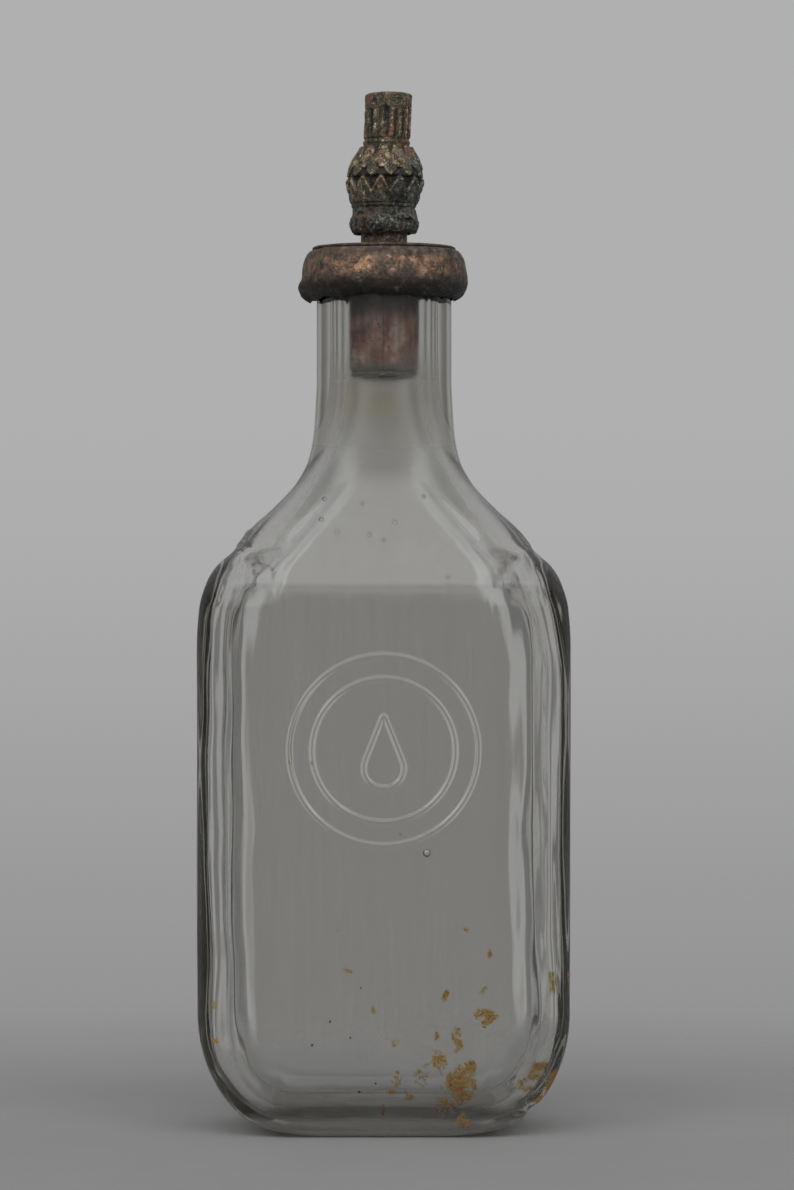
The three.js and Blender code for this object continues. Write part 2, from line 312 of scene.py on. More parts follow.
INNER_D = [
    (26, 19.4), (112, 19.4), (115.5, 19.1), (119, 17.8), (124, 15.9), (130, 13.3), (137, 11.0),
    (144, 9.5), (152, 8.4), (158, 7.92), (163, 7.78), (167, 7.75),
]
INNER_C = [(26, 13), (110, 13), (126, 11), (138, 9.8), (150, 8.4), (158, 7.8), (167, 7.65)]
# Height of the floor inside
FLOOR = 4.0
# Lower corners seen from the front: ellipses round one centre (x, z), "full" for the outline and "flat" for
# the flat panel's edge. "drop" is how far the surface falls back from the panel to the outline, at the side
# and at the foot.
CENTRE = (19.0, 26.0)
OUTER_HEEL = {"flat": (4.5, 21.0), "full": (20.9, CENTRE[1]), "depth": 23.0,
              "drop": (10.0, 4.0), "power": 1.45}
INNER_HEEL = {"flat": (4.4, CENTRE[1] - FLOOR - 6), "full": (17.4, CENTRE[1] - FLOOR), "depth": 19.4,
              "drop": (13.0, 6.0), "power": 2.0}


def columns():
    """Round one ring, counter-clockwise from the right: (kind, sign x, sign y, parameter)."""
    def corner(qx, qy, up):
        t = np.linspace(0, 1, 31)
        return [("c", qx, qy, v if up else 1 - v) for v in t]
    side = [("s", 1, 0, v) for v in np.linspace(-1, 1, 9)[1:-1]]
    back = [("b", 0, 1, v) for v in np.linspace(1, -1, 25)[1:-1]]
    left = [("s", -1, 0, v) for v in np.linspace(1, -1, 9)[1:-1]]
    front = [("b", 0, -1, v) for v in np.linspace(-1, 1, 151)[1:-1]]
    return (side + corner(1, 1, True) + back + corner(-1, 1, False) + left + corner(-1, -1, True) + front
            + corner(1, -1, False))


COLUMNS = columns()


def bevelled(z, w, d, cw, cd, p):
    """One ring of the bottle at height z."""
    pts = np.empty((len(COLUMNS), 3))
    for i, (kind, sx, sy, v) in enumerate(COLUMNS):
        if kind == "c":
            t = v * math.pi / 2
            x = sx * (w - cw + cw * abs(math.cos(t)) ** (2 / p))
            y = sy * (d - cd + cd * abs(math.sin(t)) ** (2 / p))
        elif kind == "s":
            x, y = sx * w, v * (d - cd)
        else:
            x, y = v * (w - cw), sy * d
        pts[i] = x, y, z
    return pts


def heel_ring(z, flat, full, depth, drop, power):
    """One ring below CENTRE: the corner band follows the bottle's outline round into the foot."""
    below = CENTRE[1] - z
    grow_x, grow_z = full[0] - flat[0], full[1] - flat[1]
    start = min(1.0, max(0.0, (below - flat[1]) / grow_z))

    def at(share):
        sine = min(1.0, below / (flat[1] + grow_z * share))
        cosine = math.sqrt(1 - sine * sine)
        fall = 1 - max(0.0, 1 - share ** power) ** (1 / power)
        y = depth - fall * (drop[0] * cosine ** 2 + drop[1] * sine ** 2)
        return CENTRE[0] + (flat[0] + grow_x * share) * cosine, y

    (edge_x, edge_y), (side_x, side_y) = at(start), at(1.0)
    pts = np.empty((len(COLUMNS), 3))
    for i, (kind, sx, sy, v) in enumerate(COLUMNS):
        if kind == "c":
            x, y = at(start + (1 - start) * abs(math.cos(v * math.pi / 2)) ** (2 / power))
            x, y = sx * x, sy * y
        elif kind == "s":
            x, y = sx * side_x, v * side_y
        else:
            x, y = v * edge_x, sy * edge_y
        pts[i] = x, y, z
    return pts


def outer_ring(z):
    if z < CENTRE[1]:
        ring = heel_ring(z, **OUTER_HEEL)
        width, depth = ring[:, 0].max(), ring[:, 1].max()
        foot = bevelled(z, width, depth, 8, 8, 2)
        return ring + (foot - ring) * (1 - smoothstep(z, 0, 3.5))
    w, d = float(pchip(OUTER_W, z)), float(pchip(OUTER_D, z))
    cw, cd = min(float(pchip(BEVEL_W, z)), w - 0.1), min(float(pchip(BEVEL_D, z)), d - 0.1)
    return bevelled(z, w, d, cw, cd, float(pchip(BEVEL_P, z)))


def inner_ring(z):
    if z < CENTRE[1]:
        return heel_ring(z, **INNER_HEEL)
    w, d, c = float(pchip(INNER_W, z)), float(pchip(INNER_D, z)), float(pchip(INNER_C, z))
    return bevelled(z, w, d, min(c, w - 0.1), min(c, d - 0.1), 2.0)


def drop_distance(x, z, r1=4.3, r2=0.4, h=10.5):
    """Signed distance to a drop outline standing on its round end, in mm."""
    x = np.abs(x)
    b = (r1 - r2) / h
    a = math.sqrt(1 - b * b)
    k = -b * x + a * z
    low = np.hypot(x, z) - r1
    high = np.hypot(x, z - h) - r2
    return np.where(k < 0, low, np.where(k > a * h, high, a * x + b * z - r1))


# The raised mark on the front: two rings round MARK_Z and a plain drop that stands on DROP_Z
MARK_Z = 82.0
MARK_RINGS = (20.1, 15.2)
DROP_Z = 78.3
MARK_HEIGHT = 0.38
MARK_HALF_LINE = 0.85


def raised_line(distance):
    """Height, 0-1, of a rounded line at a distance from its middle."""
    swell = 0.5 + 0.5 * np.cos(np.pi * distance / MARK_HALF_LINE)
    return np.where(np.abs(distance) < MARK_HALF_LINE, swell, 0)


def emboss(x, z):
    """Height of the raised mark at a place on the front."""
    mark = raised_line(drop_distance(x, z - DROP_Z))
    for radius in MARK_RINGS:
        mark = np.maximum(mark, raised_line(np.hypot(x, z - MARK_Z) - radius))
    return MARK_HEIGHT * mark


# Rust left by the old cap and by water: (x, z, half width, half height, strength)
RUST_INSIDE = [
    (16.8, 11.8, 6.0, 5.2, 1.0), (13.6, 6.6, 6.0, 3.0, 0.72), (9.2, 15.2, 5.4, 4.2, 0.46),
    (3.6, 12.6, 2.0, 2.6, 0.5), (2.0, 9.9, 3.2, 1.3, 0.8), (5.4, 7.9, 1.8, 1.4, 0.7),
    (0.1, 5.8, 1.0, 1.8, 0.85), (15.4, 20.4, 1.4, 3.2, 0.72), (11.7, 20.4, 1.2, 2.2, 0.6),
    (13.2, 30.6, 1.2, 1.5, 0.95), (21.4, 25.2, 1.9, 1.9, 0.95), (21.0, 32.4, 3.0, 3.4, 0.45),
    (-2.1, 27.2, 1.0, 2.0, 0.62), (-7.4, 35.4, 3.0, 2.0, 0.5), (22.3, 37.5, 1.4, 2.2, 0.65),
    (17.6, 44.0, 1.2, 1.4, 0.6), (3.2, 19.9, 1.5, 1.8, 0.42), (28.2, 11.8, 3.4, 4.6, 0.42),
    (-5.5, 17.0, 1.6, 1.2, 0.3), (8.5, 26.0, 1.6, 1.4, 0.32),
]
RUST_OUTSIDE = [
    (17.1, 3.6, 1.7, 2.4, 1.0), (36.9, 12.2, 1.4, 2.2, 0.9), (35.4, 10.0, 1.5, 2.0, 0.95),
    (33.6, 7.6, 1.6, 2.0, 0.9), (-35.3, 20.6, 1.3, 4.2, 0.8), (39.7, 32.0, 0.9, 4.5, 0.7),
    (-36.0, 27.0, 0.9, 2.6, 0.6), (-20.1, 79.4, 0.6, 1.5, 0.7), (-15.1, 79.2, 0.5, 1.1, 0.6),
    (-36.2, 70.0, 0.6, 2.5, 0.65), (-26.3, 67.0, 0.4, 7.0, 0.6),
]
# Black specks on the front wall: (x, z, radius)
SPECKS = [
    (-11.4, 24.5, 0.30), (-7.1, 21.1, 0.26), (-15.2, 19.5, 0.32), (-1.7, 11.4, 0.28), (-5.2, 9.6, 0.36),
    (-4.9, 31.6, 0.2), (12.5, 172.5, 0.35),
]


def rust_at(points, spots):
    """Strength of the rust, 0-1, at points on the front of the bottle."""
    x, y, z = np.moveaxis(points, -1, 0)
    total = np.zeros(x.shape)
    flat = np.stack([x, 0 * y, z], -1)
    wx, wz = 0.9 * fbm(flat, 0.20, 3, 61.0), 0.9 * fbm(flat, 0.20, 3, 83.0)
    for cx, cz, rx, rz, strength in spots:
        near = smoothstep(np.hypot((x - cx) / rx + wx, (z - cz) / rz + wz), 1.15, 0.0)
        total = np.maximum(total, strength * near)
    return total * smoothstep(-y, 5, 9)


# The front panel lies this share of the depth behind the raised mark
PANEL_SINK = 0.017


def ledge_at(x, y, z):
    """The mould never closed quite evenly: a ledge round the shoulder, with a spur of flash on the left."""
    ledge = 0.32 * hump(z, 125.8, 0.8) * (0.3 + 0.7 * smoothstep(-y, 15, 7))
    spur = smoothstep(-x, 20, 27) * hump(y, -3, 5)
    return ledge + spur * (0.85 * hump(z, 128.4, 0.45) + 0.35 * hump(z, 125.4, 0.4))


def outer_skin():
    """The outer face, foot to neck, with its mark, ledge, sway and chipped corner."""
    levels = np.concatenate([
        [0, 0.12, 0.3, 0.6, 1, 1.5, 2.1, 2.8, 3.6, 4.5], np.arange(5.2, 27, 0.7), np.linspace(28, 60, 24),
        np.arange(60.5, 103.5, 0.34), np.arange(104, 114, 1.2), np.arange(114.4, 164, 0.62),
        [166, 170, 175, 178.5, 180.6],
    ])
    outer = np.array([outer_ring(z) for z in levels])
    front = (outer[..., 1] < -22.9) & (np.abs(outer[..., 0]) < 23.5)
    outer[..., 1] -= np.where(front, emboss(outer[..., 0], outer[..., 2]), 0)
    x, y, z = np.moveaxis(outer, -1, 0)
    ledge = ledge_at(x, y, z)[..., None]
    outer[..., :2] *= 1 + ledge / np.hypot(x, y)[..., None]
    sway = fbm(outer * np.array([1, 1, 0.5]), 0.035, 2, 3.1) * smoothstep(z, 0, 30) * 0.22
    sway *= 1 - smoothstep(z, 112, 140)
    keep = np.where(y < -22.5, 0.25, 1.0)
    outer[..., 0] -= np.sign(x) * np.abs(sway) * keep
    outer[..., 1] *= 1 - PANEL_SINK * (y < 0) * (1 - smoothstep(z, 114, 134))
    # a knock has taken a flake off the lower right corner
    outer[..., 0] -= hump(z, 5.4, 1.1) * smoothstep(x, 25, 31) * smoothstep(y, 14, -4)
    return outer


def inner_skin():
    """The inner face, neck to floor. Pressed glass wanders, most along the corners and near the floor."""
    levels = np.concatenate([
        np.arange(167, 112, -0.8), np.arange(112, 48, -2.4), np.arange(47, 36, -1.0), np.arange(36, 9, -0.6),
        FLOOR + np.array([4.7, 4.1, 3.5, 3.0, 2.5, 2.1, 1.7, 1.3, 1.0, 0.7, 0.45, 0.25, 0.1, 0.02]),
    ])
    inner = np.array([inner_ring(z) for z in levels])
    z = inner[..., 2]
    body = smoothstep(z, 4, 22) * (1 - smoothstep(z, 112, 135))
    wave = fbm(inner * np.array([0.8, 0.8, 1.0]), 0.026, 3, 11.0)
    ripple = fbm(inner * np.array([1.6, 1.6, 0.7]), 0.05, 2, 29.0)
    edge = smoothstep(np.abs(inner[..., 0]), 18, 31)
    inner[..., 0] += np.sign(inner[..., 0]) * body * edge * (0.75 * wave - 0.35)
    inner[..., 1] += np.sign(inner[..., 1]) * body * (0.28 * ripple + edge * (0.45 * wave - 0.3))
    # drawn streaks run down the corners
    reed = fbm(inner * np.array([1, 1, 0.035]), 0.33, 3, 53.0) * smoothstep(np.abs(inner[..., 0]), 20, 25)
    for axis in (0, 1):
        inner[..., axis] += np.sign(inner[..., axis]) * body * 0.10 * reed
    # the floor rises in its middle
    near_floor = 1 - smoothstep(z, FLOOR, FLOOR + 3)
    inner[..., 2] += 1.3 * hump(inner[..., 0], 0, 15) * hump(inner[..., 1], 0, 9) * near_floor
    return inner


def circle(z, r):
    return bevelled(z, r, r, r - 0.1, r - 0.1, 2)


def bottle_mesh():
    """The glass as one open skin: grid[level, column, xyz], and which levels are inside and how rusty."""
    dish = np.array([circle(z, r) for z, r in (
        (1.0, 2), (0.95, 5), (0.8, 8.5), (0.45, 11.5), (0.1, 12.8), (0, 13.2))])
    outer = outer_skin()
    lip = np.array([circle(z, r) for z, r in (
        (181.4, 14.75), (186.0, 14.75), (186.8, 14.6), (187.35, 14.2), (187.6, 13.6), (187.6, 8.6),
        (187.4, 8.0), (186.9, 7.75), (179.5, 7.75), (170, 7.75))])
    bore_levels = 2
    grid = np.concatenate([dish, outer, lip, inner_skin()])
    inside = np.zeros(grid.shape[:2])
    inside[len(dish) + len(outer) + len(lip) - bore_levels:] = 1.0
    rust = np.where(inside > 0.5, rust_at(grid, RUST_INSIDE), rust_at(grid, RUST_OUTSIDE))
    return grid, {"inside": inside, "rust": rust}


# Air bubbles: (x, z, depth below the surface, radius across the face, radius through the wall)
BUBBLES = [
    (9.1, 60.3, 1.8, 0.85, 0.5), (-12.6, 135.2, 1.2, 0.5, 0.32), (-13.3, 130.8, 1.3, 0.55, 0.35),
    (-9.9, 128.2, 1.2, 0.5, 0.3), (-4.6, 134.3, 1.2, 0.45, 0.3), (-3.0, 127.6, 1.3, 0.5, 0.3),
    (0.0, 126.4, 1.2, 0.4, 0.28), (2.3, 130.3, 1.2, 0.5, 0.3), (8.5, 135.8, 1.1, 0.45, 0.3),
    (13.6, 118.6, 1.4, 0.4, 0.28), (-9.7, 44.0, 1.8, 0.28, 0.2), (3.5, 64.3, 1.7, 0.22, 0.2),
]


def add_bubbles(obj):
    """Small air bubbles caught in the wall: closed hollows with their faces turned inwards."""
    bm = bmesh.new()
    bm.from_mesh(obj.data)
    for x, z, sunk, across, through in BUBBLES:
        before = set(bm.faces)
        made = bmesh.ops.create_uvsphere(bm, u_segments=16, v_segments=10, radius=across * MM)
        for v in made["verts"]:
            v.co.y *= through / across
            v.co += Vector((x, sunk - float(pchip(OUTER_D, z)), z)) * MM
        fresh = [f for f in bm.faces if f not in before]
        bmesh.ops.reverse_faces(bm, faces=fresh)
        for f in fresh:
            f.smooth = True
    bm.to_mesh(obj.data)
    bm.free()


def rust_stain(s):
    """(strength, colour) of the rust: threads and crumbs, deep orange where thick, in a yellow bloom."""
    rust = s.attribute("rust")
    grain = s.noise(1.25, 3, 0.7, shift=5)
    wide = s.noise(0.34, 2, 0.5, shift=15)
    cloud = s.noise(0.8, 3, 0.6, shift=9)
    cover = s.times(rust, s.span(wide, 0.34, 0.56, 0.45, 1.15))
    crumbs = s.span(s.math("MULTIPLY_ADD", cover, 0.34, grain), 0.865, 0.935)

    def thread(scale, distort):
        path = s.noise(scale, 2, 0.5, distort=distort, shift=scale)
        return s.span(s.math("ABSOLUTE", s.minus(path, 0.5)), 0.040, 0.010)

    threads = s.most(thread(0.36, 1.2), thread(0.65, 0.9))
    threads = s.times(threads, s.span(s.math("MULTIPLY_ADD", grain, 0.5, cover), 0.42, 0.68))
    bloom = s.times(s.span(s.math("MULTIPLY_ADD", cloud, 0.9, cover), 0.62, 1.25), 0.34)
    stain = s.most(s.most(crumbs, s.times(threads, 0.8)), bloom)
    stain = s.times(stain, s.span(rust, 0.02, 0.5))
    thick = s.plus(s.times(stain, 0.40), s.math("MULTIPLY_ADD", grain, 0.55, s.times(cover, 0.28)))
    tone = s.ramp(thick, [
        (0.36, (0.60, 0.52, 0.22)), (0.50, (0.64, 0.42, 0.07)), (0.66, (0.60, 0.26, 0.02)),
        (0.84, (0.46, 0.16, 0.014)), (1.0, (0.16, 0.048, 0.008)),
    ])
    return stain, tone


def oil_film(s, x, z):
    """A dull film of old oil on the inside: faint runs down the body, thicker in the neck."""
    runs = s.span(s.noise(0.5, 4, 0.6, stretch=(1, 1, 0.05), shift=4), 0.35, 0.75)
    cloud = s.span(s.noise(0.05, 3, 0.5, shift=7), 0.3, 0.7)
    body = s.times(s.times(runs, cloud), 0.10)
    neck = s.times(s.span(z, 112, 140, 0.02, 0.19), s.span(runs, 0, 1, 0.75, 1.0))
    stripe = s.times(s.between(x, -1.5, 2.4, 0.6), s.span(z, 118, 126, 0.0, 0.55))
    neck = s.times(neck, s.minus(1.0, stripe))
    neck = s.times(neck, s.span(z, 172, 164, 0.45, 1.0))
    return s.times(s.plus(body, neck), s.span(z, 9, 15))


def black_specks(s, x, y, z):
    black = 0.0
    for cx, cz, radius in SPECKS:
        far = s.vmath("DISTANCE", s.combine(x, z), (cx, cz, 0.0))
        black = s.most(black, s.span(far, radius, 0.6 * radius))
    return s.times(black, s.span(y, -5, -6))


def foot_grime(s, x, y, z):
    """(strength, colour): brown grime on the foot, and a pale dusty skin on the hollow underneath."""
    under = s.most(s.span(z, 1.7, 1.0), s.span(z, 4.6, 3.0, 0.0, 0.35))
    hollow = s.span(s.vmath("DISTANCE", s.combine(x, y), (0.0, 0.0, 0.0)), 13.6, 12.4)
    return under, s.mix(hollow, (0.58, 0.54, 0.50), (0.80, 0.78, 0.74))


def glass_material():
    s = new_material("old_clear_glass")
    x, y, z = s.xyz()
    inside = s.attribute("inside")
    stain, tone = rust_stain(s)
    film = s.times(oil_film(s, x, z), inside)
    black = s.times(black_specks(s, x, y, z), inside)
    under, grime = foot_grime(s, x, y, z)
    under = s.times(under, s.minus(1.0, inside))
    # yellow oil clouds the neck
    oily = s.times(s.between(z, 150, 167, 4), s.span(s.noise(0.12, 2, 0.5, shift=27), 0.45, 0.62))
    color = s.mix(s.times(oily, 0.45), (0.93, 0.93, 0.92), (0.80, 0.76, 0.55))
    color = s.mix(s.span(stain, 0.0, 0.25), color, tone)
    color = s.mix(black, color, (0.03, 0.025, 0.02))
    color = s.mix(s.times(under, 0.85), color, grime)
    solid = s.most(s.times(stain, 0.68), s.most(film, black))
    solid = s.most(solid, s.times(under, 0.3))
    clear = s.minus(1.0, solid, clamp=True)
    # the inside of the neck is dull, the rest of the glass is smooth
    dull = s.times(s.span(z, 110, 150), s.span(z, 170, 160, 0.35, 1.0))
    rough = s.math("MULTIPLY_ADD", s.times(inside, dull), 0.26, 0.02)
    rough = s.most(rough, s.times(s.most(under, stain), 0.5))
    ripple = s.noise(0.055, 2, 0.4, stretch=(1, 1, 0.35), shift=1)
    shader = s.principled(Base_Color=color, Roughness=rough, Transmission_Weight=clear,
                          Normal=s.bump(ripple, 0.25, 0.0006))
    shader.node.inputs["IOR"].default_value = 1.5
    absorb = s.node("ShaderNodeVolumeAbsorption")
    absorb.inputs["Color"].default_value = (0.43, 0.41, 0.35, 1)
    absorb.inputs["Density"].default_value = 30.0
    return s.finish(shader, absorb.outputs[0])


grid, marks = bottle_mesh()
bottle = grid_object("bottle_glass", grid, glass_material(), closed=False, caps=(True, True), marks=marks)
add_bubbles(bottle)
place(bottle, "bottle", "glass_bottle")


# --------------------------------------------------------------------------------------------------
# Metal, cork and leather
# --------------------------------------------------------------------------------------------------

def surface(radius, th, z):
    """Points at a radius and an angle about the bottle's axis."""
    return np.stack([radius * np.cos(th), radius * np.sin(th), z], -1)


def turned_grid(stations, columns, relief):
    """grid[level, column] from (radius, z) stations; relief(theta, r, z) gives the moved r and z."""
    radii, heights = np.array(stations, float).T
    theta = np.arange(columns) / columns * TAU
    r, th = np.meshgrid(radii, theta, indexing="ij")
    z = np.meshgrid(heights, theta, indexing="ij")[0]
    r, z = relief(th, r, z)
    return surface(r, th, z)


def dense(points, step):
    """The same outline with a point at least every `step` mm."""
    out = []
    for (r0, z0), (r1, z1) in zip(points, points[1:]):
        n = max(1, int(math.ceil(math.hypot(r1 - r0, z1 - z0) / step)))
        out += [(r0 + (r1 - r0) * k / n, z0 + (z1 - z0) * k / n) for k in range(n)]
    return out + [points[-1]]


def copper_material():
    s = new_material("aged_copper_collar")
    x, y, z = s.xyz()
    big = s.noise(0.15, 4, 0.6, distort=0.4)
    mid = s.noise(0.6, 4, 0.65, shift=3)
    fine = s.noise(2.8, 3, 0.65, shift=8)
    grain = s.plus(s.times(mid, 0.72), s.times(fine, 0.28))
    brown = s.ramp(grain, [
        (0.34, (0.020, 0.016, 0.013)), (0.45, (0.062, 0.045, 0.034)), (0.55, (0.13, 0.088, 0.062)),
        (0.68, (0.25, 0.185, 0.14)),
    ])
    bare = s.ramp(grain, [
        (0.34, (0.10, 0.060, 0.040)), (0.44, (0.24, 0.138, 0.086)), (0.54, (0.38, 0.225, 0.14)),
        (0.70, (0.58, 0.42, 0.30)),
    ])
    crust = s.ramp(fine, [
        (0.32, (0.020, 0.021, 0.018)), (0.48, (0.085, 0.088, 0.076)), (0.62, (0.20, 0.205, 0.18)),
        (0.78, (0.40, 0.41, 0.37)),
    ])
    # bare copper shows where hands rub it: a broken band under the shoulder, strongest at the front
    drift = s.times(s.minus(big, 0.5), 5.0)
    band = s.between(s.plus(z, drift), COLLAR_FOOT + 4.6, COLLAR_FOOT + 8.6, 1.0)
    worn = s.times(band, s.span(s.plus(big, s.times(mid, 0.3)), 0.54, 0.74))
    worn = s.times(worn, s.span(y, 6, -6, 0.45, 1.0))
    # a dull grey drip divides it at the front, and the far left and right stay dark
    drip = s.between(s.plus(x, s.times(s.minus(mid, 0.5), 4.0)), -1.8, 0.8, 0.9)
    worn = s.times(worn, s.minus(1.0, s.times(drip, 0.75)))
    worn = s.times(worn, s.span(s.math("ABSOLUTE", x), 17.5, 11.5, 0.25, 1.0))
    scab = s.span(s.plus(s.noise(0.30, 5, 0.7, shift=12), s.times(fine, 0.15)), 0.62, 0.70)
    color = s.mix(worn, brown, bare)
    color = s.mix(s.times(scab, 0.9), color, crust)
    # painted shade: the lower edge of the skirt goes near black, broken up by the grain
    painted_lower_shade = s.times(s.span(z, COLLAR_FOOT + 5.0, COLLAR_FOOT + 2.2), s.span(grain, 0.70, 0.54))
    color = s.mix(s.times(painted_lower_shade, 0.85), color, (0.010, 0.009, 0.008))
    rubbed = s.times(worn, s.minus(1.0, scab))
    metal = s.span(rubbed, 0, 1, 0.15, 0.8)
    rough = s.plus(s.span(rubbed, 0, 1, 0.62, 0.42), s.times(s.minus(fine, 0.5), 0.3), clamp=True)
    height = s.plus(s.times(mid, 0.8), s.plus(s.times(fine, 0.35), s.times(scab, 0.4)))
    normal = s.bump(height, 0.8, 0.0005)
    return s.finish(s.principled(Base_Color=color, Metallic=metal, Roughness=rough, Normal=normal))


def brass_material(name, relief, bright):
    """Blackened brass, bright on its crests: cast pieces read them from the relief attribute, which also
    holds painted light and shade.
    """
    s = new_material(name)
    x, _, z = s.xyz()
    mid = s.noise(0.75, 4, 0.65, shift=1)
    fine = s.noise(3.4, 3, 0.65, shift=6)
    grain = s.plus(s.times(mid, 0.45), s.times(fine, 0.55))
    dark = s.ramp(grain, [
        (0.36, (0.008, 0.007, 0.005)), (0.46, (0.040, 0.032, 0.019)), (0.54, (0.105, 0.084, 0.050)),
        (0.62, (0.215, 0.180, 0.115)), (0.72, (0.50, 0.46, 0.36)),
    ])
    gold = s.ramp(grain, [
        (0.36, (0.05, 0.034, 0.015)), (0.46, (0.19, 0.130, 0.058)), (0.55, (0.42, 0.32, 0.17)),
        (0.65, (0.84, 0.77, 0.58)),
    ])
    crust = s.plus(s.times(s.noise(1.3, 3, 0.65, shift=19), 0.7), s.times(fine, 0.3))
    grey = s.ramp(crust, [
        (0.38, (0.010, 0.010, 0.009)), (0.47, (0.055, 0.056, 0.047)), (0.55, (0.15, 0.152, 0.13)),
        (0.64, (0.46, 0.46, 0.42)),
    ])
    crest = s.attribute("relief") if relief else s.times(mid, 0.8)
    # gold where the crests are rubbed, and where the relief attribute paints light
    worn = s.span(s.plus(crest, s.times(s.minus(mid, 0.5), 1.8)), 0.54, 0.90)
    # painted glints: small pale specks, most on the crests
    painted_glint = s.span(s.noise(2.1, 2, 0.6, shift=44), 0.60, 0.70)
    painted_glint = s.times(painted_glint, s.span(crest, 0.30, 0.55, 0.25, 1.0))
    color = s.mix(s.times(worn, bright), dark, gold)
    coppery = s.times(s.span(s.noise(0.33, 3, 0.6, shift=15), 0.50, 0.62), s.span(z, 205, 212, 0.2, 0.85))
    color = s.mix(coppery, color, s.mix(grain, (0.0, 0.0, 0.0), (0.42, 0.18, 0.085)))
    green = s.times(s.span(s.noise(0.42, 3, 0.6, shift=33), 0.53, 0.66), s.span(z, 213, 209, 0.2, 0.6))
    color = s.mix(green, color, s.mix(grain, (0.0, 0.0, 0.0), (0.33, 0.36, 0.28)))
    side = s.plus(s.times(x, 0.032), s.times(s.minus(204.5, z), 0.020))
    scab = s.noise(0.28, 5, 0.7, shift=21)
    scab = s.span(s.plus(scab, side) if relief else scab, 0.57, 0.68)
    color = s.mix(s.times(scab, 0.85), color, grey)
    # painted shade: near black where the relief brightness is low, in the hollows, gaps, slots, pits and on
    # the inner faces
    if relief:
        color = s.mix(s.times(s.span(crest, 0.27, 0.04), 0.85), color, (0.006, 0.0055, 0.0045))
    color = s.mix(s.times(painted_glint, 0.75), color, (0.72, 0.69, 0.60))
    metal = s.span(s.minus(worn, scab), 0.0, 1.0, 0.15, 0.8)
    rough = s.plus(s.span(worn, 0, 1, 0.50, 0.30), s.times(s.minus(fine, 0.5), 0.3), clamp=True)
    height = s.plus(mid, s.plus(s.times(fine, 0.5), s.times(scab, crust)))
    normal = s.bump(height, 0.9, 0.0004)
    return s.finish(s.principled(Base_Color=color, Metallic=metal, Roughness=rough, Normal=normal))


def cork_material():
    s = new_material("oily_cork")
    x, _, z = s.xyz()
    mid = s.noise(0.26, 4, 0.6, stretch=(1, 1, 0.7))
    fine = s.noise(1.8, 3, 0.6, shift=4)
    runs = s.noise(0.55, 3, 0.6, stretch=(1, 1, 0.12), shift=7)
    tone = s.plus(s.times(mid, 0.65), s.times(runs, 0.35))
    color = s.ramp(tone, [
        (0.36, (0.060, 0.026, 0.018)), (0.44, (0.22, 0.082, 0.052)), (0.51, (0.42, 0.20, 0.135)),
        (0.58, (0.56, 0.42, 0.36)), (0.66, (0.66, 0.60, 0.56)),
    ])
    pits = s.span(s.voronoi(0.9), 0.22, 0.10)
    color = s.mix(s.times(pits, 0.8), color, (0.05, 0.025, 0.02))
    # painted shadow: dark towards its top, where the collar shades it; oil has soaked it in a ragged ring at
    # its foot
    collar_shadow = s.span(s.plus(z, s.times(mid, 9.0)), 177.0, 182.0)
    seam = s.times(s.between(s.plus(x, s.times(fine, 0.5)), -0.2, 0.4, 0.25), 0.55)
    foot = s.times(s.span(s.plus(z, s.times(fine, 2.4)), 166.8, 165.0), 0.75)
    color = s.mix(s.most(s.times(collar_shadow, 0.85), seam), color, (0.030, 0.018, 0.014))
    color = s.mix(foot, color, s.mix(fine, (0.03, 0.03, 0.032), (0.22, 0.215, 0.21)))
    height = s.plus(s.times(fine, 0.5), s.minus(mid, pits))
    return s.finish(s.principled(Base_Color=color, Roughness=0.75, Normal=s.bump(height, 0.6, 0.0004)))


def leather_material():
    s = new_material("old_leather")
    n = s.noise(1.5, 4, 0.6)
    color = s.ramp(n, [(0.3, (0.03, 0.018, 0.012)), (0.6, (0.11, 0.065, 0.04)), (0.8, (0.2, 0.13, 0.09))])
    return s.finish(s.principled(Base_Color=color, Roughness=0.8, Normal=s.bump(n, 0.5, 0.0003)))


def washer_material():
    s = new_material("corroded_washer")
    n = s.noise(0.9, 4, 0.65)
    color = s.ramp(n, [(0.3, (0.05, 0.045, 0.04)), (0.5, (0.19, 0.18, 0.165)), (0.7, (0.42, 0.40, 0.37))])
    normal = s.bump(n, 0.8, 0.0005)
    return s.finish(s.principled(Base_Color=color, Metallic=0.2, Roughness=0.75, Normal=normal))


COLLAR_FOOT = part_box("collar_shell")[0][2] / MM
copper = copper_material()
cast_brass = brass_material("cast_brass", relief=True, bright=1.0)
plain_brass = brass_material("plain_brass", relief=False, bright=0.55)
leather = leather_material()

# ---- Collar, plate, washer, cork ------------------------------------------------------------------
# The collar's outside and inside, as (radius, height above its foot)
SKIRT = [
    (15.3, 0), (16.4, 0.4), (17.3, 1.1), (17.9, 2.2), (18.15, 3.4), (18.1, 4.8), (17.85, 6.2),
    (17.6, 7.6), (17.25, 8.7), (16.75, 9.6), (16.1, 10.25), (15.5, 10.45), (13.5, 10.5),
]
SKIRT_INSIDE = [
    (3.2, 10.0), (15.0, 9.92), (16.3, 8.9), (16.95, 7.3), (17.3, 5.3), (17.5, 3.4), (17.2, 2.2),
    (16.5, 1.3), (15.25, 0.4),
]


